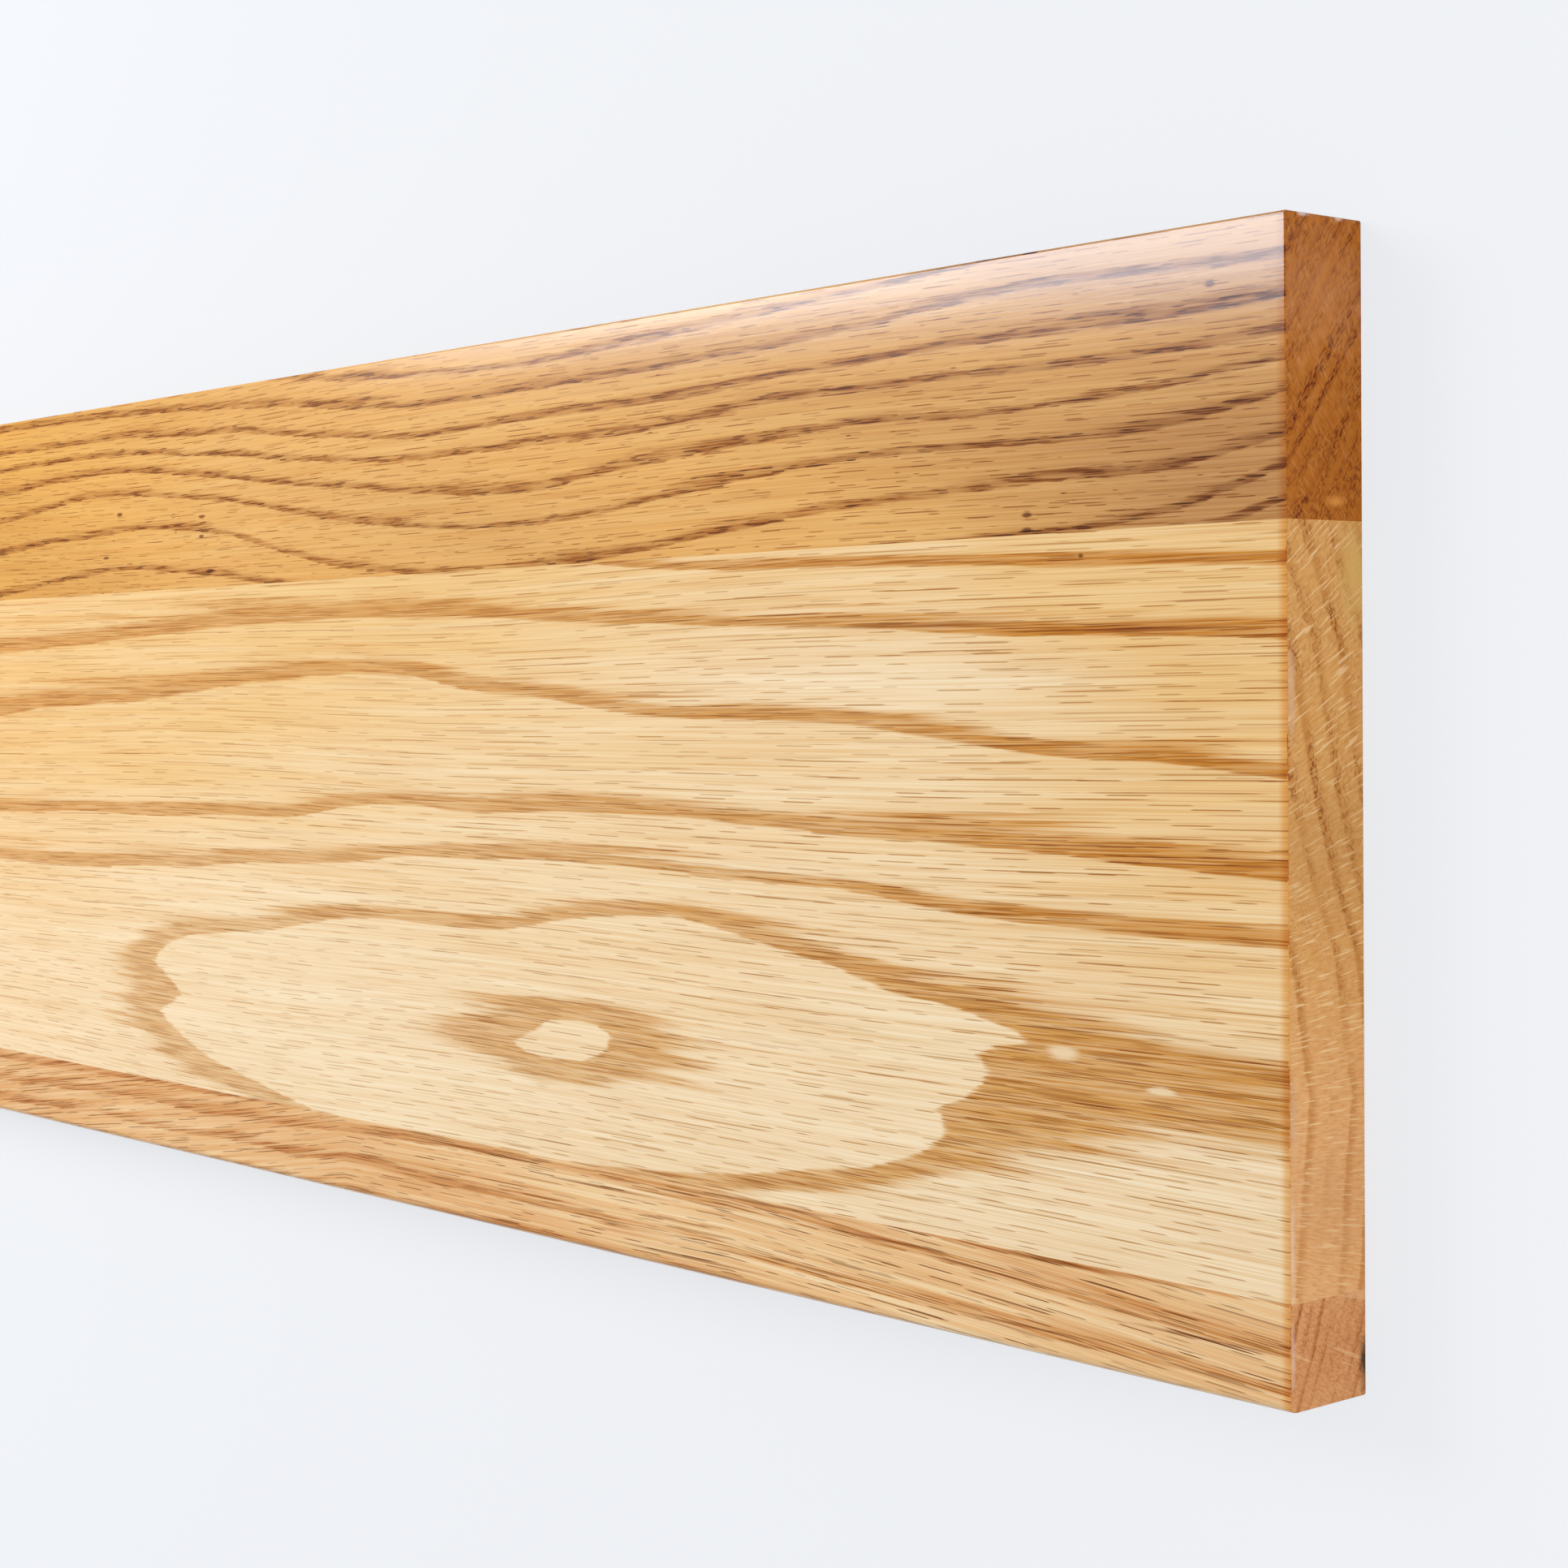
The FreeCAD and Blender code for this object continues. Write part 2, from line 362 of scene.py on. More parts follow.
def add_rings(mesh, rings_of, ring_width, tint_of, slant, far_contrast):
    """Gives each corner of the mesh its ring number, the gap to the next ring and the width of early wood.

    It also gets the drift of the grain, the tint, and a contrast that falls to the given one far from the
    right end."""
    places = np.empty(len(mesh.vertices) * 3)
    mesh.vertices.foreach_get("co", places)
    x, y, z = places.reshape(-1, 3).T / MM
    along = x - RIGHT_END
    across = y - LOWER_EDGE
    number, gap, band = rings_of(along, across, THICKNESS - z)
    on_end = np.abs(x) > RIGHT_END - 0.9 * ARRIS
    gap = np.where(on_end, ring_width, gap)
    band = np.where(on_end, END_BAND, band)
    drift = 0.7 * np.sin(along / 61 + across / 23) + 0.25 * np.sin(along / 29 - across / 31 + 1.0)
    drift = drift + slant * np.maximum(along, -140) - 3 * slant * np.minimum(along + 280, 0)
    tint = tint_of(along, across)
    contrast = far_contrast + (1 - far_contrast) * np.clip((along + 260) / 200, 0, 1)
    for attribute, values in (("ring", number), ("ring_gap", gap), ("early_band", band), ("drift", drift),
                              ("tint", tint), ("contrast", contrast)):
        layer = mesh.attributes.new(attribute, "FLOAT", "POINT")
        layer.data.foreach_set("value", values.astype(np.float32))


GOLDEN_FROM = 330.0     # where the wood starts to be more golden, mm from the right end
GOLDEN_TO = 440.0       # and where it is fully so
SOAKED_REACH = 2.4      # how far the lacquer soaks in from a sawn end, mm
MARK_DEPTH = 4.0        # thickness of a mark that lies in the show face, half of it in the wood, mm


def add(tree, kind, inputs, output=0, **settings):
    """Adds a node with its settings, values and links. Returns one of its outputs, or the node for None."""
    node = tree.nodes.new(kind)
    for name, value in settings.items():
        setattr(node, name, value)
    for socket, value in inputs.items():
        if isinstance(value, bpy.types.NodeSocket):
            tree.links.new(value, node.inputs[socket])
        else:
            node.inputs[socket].default_value = value
    return node if output is None else node.outputs[output]


def colour(text):
    """The linear colour of an sRGB hex value."""
    parts = [int(text[place:place + 2], 16) / 255 for place in (1, 3, 5)]
    return [part / 12.92 if part <= 0.04045 else ((part + 0.055) / 1.055) ** 2.4 for part in parts] + [1.0]


def new_material(name):
    """An empty node material and its tree."""
    material = bpy.data.materials.new(name)
    material.use_nodes = True
    material.node_tree.nodes.clear()
    return material, material.node_tree


def place_in_mm(tree):
    """The place on the piece, in mm."""
    place = add(tree, "ShaderNodeTexCoord", {}, "Object")
    return add(tree, "ShaderNodeVectorMath", {0: place, "Scale": 1 / MM}, operation="SCALE")


def streaks(tree, place, long, wide, detail=2.0, shift=0.0):
    """Streaks along the grain of about the given length and width in mm, from 0 to 1."""
    scaled = add(tree, "ShaderNodeMapping", {"Vector": place, "Location": (shift, shift, shift),
                                             "Scale": (1 / long, 1 / wide, 1 / wide)})
    return add(tree, "ShaderNodeTexNoise", {"Vector": scaled, "Scale": 1.0, "Detail": detail}, "Fac")


def dashes(tree, split, row, thick, long, level, soft):
    """Thin dashes along the grain with tapered ends, in rows: row height, thickness and length in mm.

    A lower level gives more of them. Some rows are fainter than others, and a thin row strays from its
    middle."""
    sideways = add(tree, "ShaderNodeMath", {0: split.outputs["Y"], 1: split.outputs["Z"]}, operation="ADD")
    sideways = add(tree, "ShaderNodeMath", {0: sideways, 1: row}, operation="DIVIDE")
    number = add(tree, "ShaderNodeMath", {0: sideways}, operation="FLOOR")
    share = add(tree, "ShaderNodeMath", {0: sideways}, operation="FRACT")
    chance_of_row = add(tree, "ShaderNodeTexWhiteNoise", {"W": number}, "Value", noise_dimensions="1D")
    stray = add(tree, "ShaderNodeMapRange", {"Value": chance_of_row, "To Min": 0.5 * thick / row,
                                             "To Max": 1 - 0.5 * thick / row})
    middle = add(tree, "ShaderNodeMath", {0: share, 1: stray}, operation="SUBTRACT")
    middle = add(tree, "ShaderNodeMath", {0: middle, 1: 2 * row / thick}, operation="MULTIPLY")
    hollow = add(tree, "ShaderNodeMath", {0: middle, 1: middle}, operation="MULTIPLY")
    start = add(tree, "ShaderNodeMath", {0: chance_of_row, 1: 900.0}, operation="MULTIPLY")
    along = add(tree, "ShaderNodeMath", {0: split.outputs["X"], 1: 1 / long, 2: start},
                operation="MULTIPLY_ADD")
    chance = add(tree, "ShaderNodeTexNoise", {"W": along, "Scale": 1.0, "Detail": 0.0}, "Fac",
                 noise_dimensions="1D")
    over = add(tree, "ShaderNodeMath", {0: chance, 1: level}, operation="SUBTRACT")
    over = add(tree, "ShaderNodeMath", {0: over, 1: 1 / soft}, operation="MULTIPLY", use_clamp=True)
    lens = add(tree, "ShaderNodeMath", {0: over, 1: hollow}, operation="SUBTRACT")
    lens = add(tree, "ShaderNodeMapRange", {"Value": lens, "From Min": 0.0, "From Max": 0.5})
    strength = add(tree, "ShaderNodeMapRange", {"Value": chance_of_row, "To Min": 0.45, "To Max": 1.0})
    return add(tree, "ShaderNodeMath", {0: lens, 1: strength}, operation="MULTIPLY")


def shade(tree, wood, share, tone, most=1.0):
    """The wood with a darker tone over it, where the share is high."""
    share = add(tree, "ShaderNodeMath", {0: share, 1: most}, operation="MULTIPLY", use_clamp=True)
    return add(tree, "ShaderNodeMix", {0: share, 6: wood, 7: tone}, 2, data_type="RGBA",
               blend_type="MULTIPLY")


def spot(tree, place, centre, size, ragged, edge):
    """A patch with a soft edge round a centre, from 0 to 1: sizes in mm, and noise to roughen its outline."""
    away = add(tree, "ShaderNodeVectorMath", {0: place, 1: centre}, operation="SUBTRACT")
    away = add(tree, "ShaderNodeVectorMath", {0: away, 1: [2 / length for length in size]},
               operation="MULTIPLY")
    away = add(tree, "ShaderNodeVectorMath", {0: away}, "Value", operation="LENGTH")
    away = add(tree, "ShaderNodeMath", {0: ragged, 1: 1.2, 2: away}, operation="MULTIPLY_ADD")
    return add(tree, "ShaderNodeMapRange", {"Value": away, "From Min": 1.6 - edge, "From Max": 1.6,
                                            "To Min": 0.9, "To Max": 0.0})


def oak_face(name, tones, finish):
    """Red oak, planed along the grain, sanded and lacquered: tan bands of open pores in paler, denser wood,
    with short dark rays, under a thin clear film that mirrors softly.

    Oak fibres are about 0.02 mm wide, too fine to show, so streaks 0.24 to 0.5 mm wide stand for bundles."""
    material, tree = new_material(name)
    place = place_in_mm(tree)
    split = add(tree, "ShaderNodeSeparateXYZ", {"Vector": place}, None)
    ring, gap, wide, drift, tint, contrast = [
        add(tree, "ShaderNodeAttribute", {}, "Fac", attribute_name=attribute)
        for attribute in ("ring", "ring_gap", "early_band", "drift", "tint", "contrast")]
    shift = add(tree, "ShaderNodeCombineXYZ", {"Y": drift})
    grain = add(tree, "ShaderNodeVectorMath", {0: place, 1: shift}, operation="ADD")
    grain_split = add(tree, "ShaderNodeSeparateXYZ", {"Vector": grain}, None)

    # The edge of the early wood is uneven, because each fibre ends by itself.
    jag = streaks(tree, grain, finish["jag_long"], 0.45, detail=2.0)
    jag = add(tree, "ShaderNodeMath", {0: jag, 1: finish["jag"], 2: -0.5 * finish["jag"]},
              operation="MULTIPLY_ADD")
    jag = add(tree, "ShaderNodeMath", {0: jag, 1: gap}, operation="DIVIDE")
    ring = add(tree, "ShaderNodeMath", {0: ring, 1: jag}, operation="ADD")
    past = add(tree, "ShaderNodeMath", {0: ring}, operation="FRACT")
    past = add(tree, "ShaderNodeMath", {0: past, 1: gap}, operation="MULTIPLY")
    start = add(tree, "ShaderNodeMapRange", {"Value": past, "From Max": finish["edge"]},
                interpolation_type="SMOOTHSTEP")
    past = add(tree, "ShaderNodeMath", {0: past, 1: wide}, operation="DIVIDE")

    # It fades outwards in streaks.
    fibre = streaks(tree, grain, 42.0, 0.5, detail=2.0, shift=7.0)
    broad = streaks(tree, grain, *finish["broad"], detail=1.0, shift=finish["shift"])
    fade = add(tree, "ShaderNodeMath", {0: fibre, 1: broad}, operation="ADD")
    fade = add(tree, "ShaderNodeMapRange", {"Value": fade, "From Min": 0.7, "From Max": 1.3,
                                            "To Min": 0.6, "To Max": 1.5})
    past = add(tree, "ShaderNodeMath", {0: past, 1: fade}, operation="MULTIPLY")
    stop = add(tree, "ShaderNodeMapRange", {"Value": past, "From Min": 0.6, "From Max": 1.15,
                                            "To Min": 1.0, "To Max": 0.0}, interpolation_type="SMOOTHSTEP")
    early = add(tree, "ShaderNodeMath", {0: start, 1: stop}, operation="MULTIPLY")

    # Pores: fine dark lines, close together in the early wood and gathered in clusters.
    cluster = streaks(tree, grain, finish["cluster"], 1.0, detail=0.0, shift=3.0)
    cluster = add(tree, "ShaderNodeMapRange", {"Value": cluster, "From Min": 0.36, "From Max": 0.6,
                                               "To Min": finish["between"], "To Max": 1.0})
    porous = add(tree, "ShaderNodeMath", {0: early, 1: cluster}, operation="MULTIPLY")
    thread = streaks(tree, grain, 26.0, 0.3, detail=1.0, shift=17.0)
    thread = add(tree, "ShaderNodeMapRange", {"Value": thread, "From Min": 0.38, "From Max": 0.62,
                                              "To Min": finish["thread"], "To Max": 1.2})
    porous = add(tree, "ShaderNodeMath", {0: porous, 1: thread}, operation="MULTIPLY", use_clamp=True)
    level = add(tree, "ShaderNodeMapRange", {"Value": porous, "To Min": 0.9, "To Max": finish["pore_level"]})
    pores = dashes(tree, grain_split, *finish["pore_row"], finish["pore_long"], level, 0.16)

    # Colour: pale late wood with a slow change of tint, then fibres, early wood, pores and rays.
    wood = add(tree, "ShaderNodeMix", {0: tint, 6: colour(tones["pale"]), 7: colour(tones["deep"])}, 2,
               data_type="RGBA")
    band = add(tree, "ShaderNodeMix", {0: tint, 6: colour(tones["band"]), 7: colour(tones["deep_band"])}, 2,
               data_type="RGBA")
    light = add(tree, "ShaderNodeMapRange", {"Value": broad, "From Min": 0.42, "From Max": 0.72,
                                             "To Max": finish["cream_share"]})
    less = add(tree, "ShaderNodeMath", {0: tint, 1: -0.65, 2: 1.0}, operation="MULTIPLY_ADD")
    light = add(tree, "ShaderNodeMath", {0: light, 1: less}, operation="MULTIPLY")
    wood = add(tree, "ShaderNodeMix", {0: light, 6: wood, 7: colour(tones["cream"])}, 2, data_type="RGBA")
    line = add(tree, "ShaderNodeMapRange", {"Value": fibre, "From Min": 0.45, "From Max": 0.75})
    wood = shade(tree, wood, line, band, finish["line_share"])
    hair = streaks(tree, grain, 60.0, 0.24, detail=1.0, shift=13.0)
    hair = add(tree, "ShaderNodeMapRange", {"Value": hair, "From Min": 0.42, "From Max": 0.7})
    wood = shade(tree, wood, hair, colour(tones["hair"]), contrast)
    wood = shade(tree, wood, porous, band, contrast)
    pores = add(tree, "ShaderNodeMath", {0: pores, 1: finish["pore_share"]}, operation="MULTIPLY")
    wood = shade(tree, wood, pores, colour(tones["pore"]), contrast)

    # Rays: thin dark lines, seen end-on on a flat-sawn face. Those in yellower wood may be more or fewer.
    for row, thick, long, level_in_pale, level_in_deep in finish["rays"]:
        level = add(tree, "ShaderNodeMapRange", {"Value": tint, "From Max": 0.5, "To Min": level_in_pale,
                                                 "To Max": level_in_deep})
        rays = dashes(tree, grain_split, row, thick, long, level, 0.1)
        wood = shade(tree, wood, rays, colour(tones["ray"]), contrast)

    # Islands of pale wood, dark streaks and pin knots, just under the show face.
    for kind, edge in (("island", 0.45), ("streak", 0.8), ("knot", 0.5)):
        for along, across, long, wide in finish[kind]:
            centre = (RIGHT_END + along, LOWER_EDGE + across, THICKNESS)
            here = spot(tree, place, centre, (long, wide, MARK_DEPTH), fibre, edge)
            tone = colour(tones[kind])
            if kind == "island":
                wood = add(tree, "ShaderNodeMix", {0: here, 6: wood, 7: tone}, 2, data_type="RGBA")
            else:
                wood = shade(tree, wood, here, tone)

    # Far from the right end the wood is more golden.
    golden = add(tree, "ShaderNodeMapRange", {"Value": split.outputs["X"],
                                              "From Min": RIGHT_END - GOLDEN_FROM,
                                              "From Max": RIGHT_END - GOLDEN_TO})
    wood = shade(tree, wood, golden, colour(tones["golden"]))

    # Beside a sawn end the wood has soaked up more lacquer, so it is more orange.
    to_end = add(tree, "ShaderNodeMath", {0: split.outputs["X"]}, operation="ABSOLUTE")
    soaked = add(tree, "ShaderNodeMapRange", {"Value": to_end, "From Min": RIGHT_END - SOAKED_REACH,
                                              "From Max": RIGHT_END - ARRIS}, interpolation_type="SMOOTHSTEP")
    wood = shade(tree, wood, soaked, colour(tones["soaked"]))

    # The lacquer film sinks a little into the open grain.
    open_grain = streaks(tree, place, 8.0, 0.35, detail=1.0, shift=5.0)
    film = add(tree, "ShaderNodeBump", {"Height": open_grain, "Strength": 0.4, "Distance": 0.006 * MM})
    lacquer = add(tree, "ShaderNodeBsdfPrincipled", {
        "Base Color": wood, "Roughness": 0.55, "IOR": 1.5, "Specular IOR Level": 0.05, "Normal": film,
        "Coat Weight": 1.0, "Coat Roughness": 0.11, "Coat IOR": 1.5, "Coat Normal": film})
    add(tree, "ShaderNodeOutputMaterial", {"Surface": lacquer}, None)
    return material


def oak_end(name, tones, finish):
    """Red oak, sawn across the grain and lacquered: it soaks up the lacquer, so it is darker, more orange and
    more matt, with faint curved rings, short dark pores and thin pale rays.

    The rays run out from the pith, which is given in mm from the lower edge and above the show face. A mark
    has its tone and share, and its place across and up the end, its width and its height in mm. Some marks
    are painted highlights, where the lacquered arris along the show face catches the light."""
    material, tree = new_material(name)
    place = place_in_mm(tree)
    ring, tint = [add(tree, "ShaderNodeAttribute", {}, "Fac", attribute_name=attribute)
                  for attribute in ("ring", "tint")]
    patch = streaks(tree, place, 6.0, 2.6, detail=2.0)
    broad = streaks(tree, place, 20.0, 9.0, detail=1.0, shift=9.0)

    # The angle about the pith, times a radius, is a place along the rings. The ring number is one across.
    across_pith, above_pith = finish["pith"]
    pith = (0.0, LOWER_EDGE + across_pith, THICKNESS + above_pith)
    away = add(tree, "ShaderNodeVectorMath", {0: place, 1: pith}, operation="SUBTRACT")
    away = add(tree, "ShaderNodeSeparateXYZ", {"Vector": away}, None)
    angle = add(tree, "ShaderNodeMath", {0: away.outputs["Y"], 1: away.outputs["Z"]}, operation="ARCTAN2")
    radius = math.hypot(above_pith, THICKNESS)
    along_ring = add(tree, "ShaderNodeMath", {0: angle, 1: radius}, operation="MULTIPLY")
    ring = add(tree, "ShaderNodeMath", {0: patch, 1: 0.22, 2: ring}, operation="MULTIPLY_ADD")
    turned = add(tree, "ShaderNodeCombineXYZ", {"X": along_ring, "Y": ring})

    # Rings come and go: each has its own strength, and so has each patch of wood.
    number = add(tree, "ShaderNodeMath", {0: ring}, operation="FLOOR")
    past = add(tree, "ShaderNodeMath", {0: ring}, operation="FRACT")
    start = add(tree, "ShaderNodeMapRange", {"Value": past, "From Max": 0.16},
                interpolation_type="SMOOTHSTEP")
    stop = add(tree, "ShaderNodeMapRange", {"Value": past, "From Min": 0.2, "From Max": 0.6, "To Min": 1.0,
                                            "To Max": 0.0}, interpolation_type="SMOOTHSTEP")
    early = add(tree, "ShaderNodeMath", {0: start, 1: stop}, operation="MULTIPLY")
    strength = add(tree, "ShaderNodeTexWhiteNoise", {"W": number}, "Value", noise_dimensions="1D")
    strength = add(tree, "ShaderNodeMath", {0: strength, 1: 0.7, 2: broad}, operation="MULTIPLY_ADD")
    strength = add(tree, "ShaderNodeMapRange", {"Value": strength, "From Min": 0.5, "From Max": 1.1,
                                                "To Min": 0.1})
    early = add(tree, "ShaderNodeMath", {0: early, 1: strength}, operation="MULTIPLY")

    # Pores are cut across, so they show as short dark dashes in the early wood. Rays are thin pale lines
    # across the rings, and a fine hatch in their direction is all over the end.
    marks = []
    for long, rows, low, high in finish["pores"], finish["rays"], finish["hatch"], finish["patches"]:
        scaled = add(tree, "ShaderNodeMapping", {"Vector": turned, "Scale": (1 / long, rows, 1.0)})
        noise = add(tree, "ShaderNodeTexNoise", {"Vector": scaled, "Scale": 1.0, "Detail": 1.0}, "Fac",
                    noise_dimensions="2D")
        marks.append(add(tree, "ShaderNodeMapRange", {"Value": noise, "From Min": low, "From Max": high}))
    pores, rays, hatch, patches = marks
    porous = add(tree, "ShaderNodeMapRange", {"Value": early, "To Min": finish["scatter"]})
    porous = add(tree, "ShaderNodeMath", {0: porous, 1: patches}, operation="MULTIPLY")
    across = add(tree, "ShaderNodeSeparateXYZ", {"Vector": place}, "Y")
    zone = [LOWER_EDGE + edge for edge in finish["zone"]]
    open_pores = add(tree, "ShaderNodeMapRange", {"Value": across, "From Min": zone[0], "From Max": zone[1],
                                                  "To Min": 0.15})
    porous = add(tree, "ShaderNodeMath", {0: porous, 1: open_pores}, operation="MULTIPLY")
    pores = add(tree, "ShaderNodeMath", {0: pores, 1: porous}, operation="MULTIPLY")

    # Colour: mottled wood, then early wood, hatch, pores, rays and this end's marks, some of them painted
    # highlights.
    mottle = add(tree, "ShaderNodeMath", {0: tint, 1: patch}, operation="ADD")
    mottle = add(tree, "ShaderNodeMapRange", {"Value": mottle, "From Min": 0.35, "From Max": 1.35})
    wood = add(tree, "ShaderNodeMix", {0: mottle, 6: colour(tones["pale"]), 7: colour(tones["deep"])}, 2,
               data_type="RGBA")
    wood = shade(tree, wood, early, colour(tones["band"]))
    wood = shade(tree, wood, hatch, colour(tones["hatch"]))
    wood = shade(tree, wood, pores, colour(tones["pore"]))
    rays = add(tree, "ShaderNodeMath", {0: rays, 1: finish["ray_share"]}, operation="MULTIPLY")
    wood = add(tree, "ShaderNodeMix", {0: rays, 6: wood, 7: colour(tones["ray"])}, 2, data_type="RGBA")
    for tone, share, across, up, wide, tall in finish["marks"]:
        centre = (RIGHT_END, LOWER_EDGE + across, up)
        here = spot(tree, place, centre, (1.0, wide, tall), patch, 0.9)
        here = add(tree, "ShaderNodeMath", {0: here, 1: share}, operation="MULTIPLY")
        wood = add(tree, "ShaderNodeMix", {0: here, 6: wood, 7: colour(tone)}, 2, data_type="RGBA")
    sawn = add(tree, "ShaderNodeBump", {"Height": hatch, "Strength": 0.3, "Distance": 0.05 * MM})
    lacquer = add(tree, "ShaderNodeBsdfPrincipled", {
        "Base Color": wood, "Roughness": 0.6, "IOR": 1.5, "Specular IOR Level": 0.1, "Normal": sawn,
        "Coat Weight": 0.2, "Coat Roughness": 0.35})
    add(tree, "ShaderNodeOutputMaterial", {"Surface": lacquer}, None)
    return material


RELIEF_DEPTH = 0.003    # how deep the early wood is sunk, mm
PLANED_UPRIGHT = 0.999  # a planed face's normal is this upright
END_ENDWAYS = 0.7       # and a sawn end's normal this far endways


def early_wood_relief():
    """A node tree that sinks the soft early wood of the planed faces, and gives faces and ends their oak.

    The ring number, the gap between rings and the width of early wood come from the mesh's own attributes."""
    tree = bpy.data.node_groups.new("early_wood_relief", "GeometryNodeTree")
    sockets = {}
    for name, kind in (("Stave", "NodeSocketGeometry"), ("Depth", "NodeSocketFloat"),
                       ("Face", "NodeSocketMaterial"), ("End", "NodeSocketMaterial")):
        sockets[name] = tree.interface.new_socket(name, in_out="INPUT", socket_type=kind).identifier
    tree.interface.new_socket("Stave", in_out="OUTPUT", socket_type="NodeSocketGeometry")
    given = add(tree, "NodeGroupInput", {}, None)
    ring, gap, wide = [
        add(tree, "GeometryNodeInputNamedAttribute", {"Name": name}, "Attribute", data_type="FLOAT")
        for name in ("ring", "ring_gap", "early_band")]
    past = add(tree, "ShaderNodeMath", {0: ring}, operation="FRACT")
    past = add(tree, "ShaderNodeMath", {0: past, 1: gap}, operation="MULTIPLY")
    past = add(tree, "ShaderNodeMath", {0: past, 1: wide}, operation="DIVIDE")
    early = add(tree, "ShaderNodeMapRange", {"Value": past, "From Min": 0.6, "From Max": 1.15, "To Min": 1.0,
                                             "To Max": 0.0}, interpolation_type="SMOOTHSTEP")
    normal = add(tree, "GeometryNodeInputNormal", {}, None)
    parts = add(tree, "ShaderNodeSeparateXYZ", {"Vector": normal.outputs["Normal"]}, None)
    upright = add(tree, "ShaderNodeMath", {0: parts.outputs["Z"]}, operation="ABSOLUTE")
    planed = add(tree, "FunctionNodeCompare", {0: upright, 1: PLANED_UPRIGHT}, data_type="FLOAT",
                 operation="GREATER_THAN")
    sunk = add(tree, "ShaderNodeMath", {0: early, 1: given.outputs["Depth"]}, operation="MULTIPLY")
    sunk = add(tree, "ShaderNodeMath", {0: sunk, 1: -1.0}, operation="MULTIPLY")
    shift = add(tree, "ShaderNodeVectorMath", {0: normal.outputs["Normal"], "Scale": sunk}, operation="SCALE")
    stave = add(tree, "GeometryNodeSetPosition", {"Geometry": given.outputs["Stave"], "Selection": planed,
                                                  "Offset": shift})
    stave = add(tree, "GeometryNodeRealizeInstances", {"Geometry": stave})
    stave = add(tree, "GeometryNodeSetMaterial", {"Geometry": stave, "Material": given.outputs["Face"]})
    endways = add(tree, "ShaderNodeMath", {0: parts.outputs["X"]}, operation="ABSOLUTE")
    on_end = add(tree, "FunctionNodeCompare", {0: endways, 1: END_ENDWAYS}, data_type="FLOAT",
                 operation="GREATER_THAN")
    stave = add(tree, "GeometryNodeSetMaterial", {"Geometry": stave, "Selection": on_end,
                                                  "Material": given.outputs["End"]})
    add(tree, "NodeGroupOutput", {0: stave}, None)
    return tree, sockets


def add_bake_map(mesh, low, high, layout):
    """A map for baking, with the sides of the stave in strips one above the other.

    The layout gives each side's axis and direction, the number of strips its length is cut into, and its
    share of the map's height. Lines of grain are thin and long, so a strip has more room across the grain
    than along it. The margin and the pad keep strips apart, as shares of the map."""
    margin, pad = 0.012, 0.004
    corners = np.empty(len(mesh.loops), int)
    mesh.loops.foreach_get("vertex_index", corners)
    places = np.empty(len(mesh.vertices) * 3)
    mesh.vertices.foreach_get("co", places)
    share = (places.reshape(-1, 3)[corners] - np.array(low)) / (np.array(high) - np.array(low))
    count = np.empty(len(mesh.polygons), int)
    mesh.polygons.foreach_get("loop_total", count)
    normals = np.empty(len(mesh.polygons) * 3)
    mesh.polygons.foreach_get("normal", normals)
    normals = normals.reshape(-1, 3)
    axis = np.abs(normals).argmax(1)
    direction = np.sign(normals[np.arange(len(axis)), axis])
    first = np.concatenate([[0], np.cumsum(count)[:-1]])
    middle = np.add.reduceat(share, first, axis=0) / count[:, None]
    place = np.zeros((len(corners), 2))
    base = 0.0
    for side_axis, side_direction, strips, height in layout:
        along, up = [other for other in range(3) if other != side_axis]
        chosen = np.repeat((axis == side_axis) & (direction == side_direction), count)
        strip = np.clip(np.floor(np.repeat(middle[:, along], count) * strips), 0, strips - 1)
        row = height / strips
        u = margin + (1 - 2 * margin) * (share[:, along] * strips - strip)
        v = base + strip * row + pad + (row - 2 * pad) * share[:, up]
        place[chosen] = np.stack([u, v], 1)[chosen]
        base += height
    layer = mesh.uv_layers.new(name="OFBake")
    layer.data.foreach_set("uv", place.ravel())


def shade_smooth(mesh):
    """Smooth shading, with a sharp edge round each flat side."""
    none, highest = 0, 3
    lowest_side = np.full(len(mesh.edges), highest)
    highest_side = np.full(len(mesh.edges), none)
    for polygon in mesh.polygons:
        parts = [abs(part) for part in polygon.normal]
        side = 1 + parts.index(max(parts)) if max(parts) > 0.9995 else none
        for loop in polygon.loop_indices:
            edge = mesh.loops[loop].edge_index
            lowest_side[edge] = min(lowest_side[edge], side)
            highest_side[edge] = max(highest_side[edge], side)
    mesh.shade_smooth()
    sharp = mesh.attributes.new("sharp_edge", "BOOLEAN", "EDGE")
    sharp.data.foreach_set("value", lowest_side != highest_side)


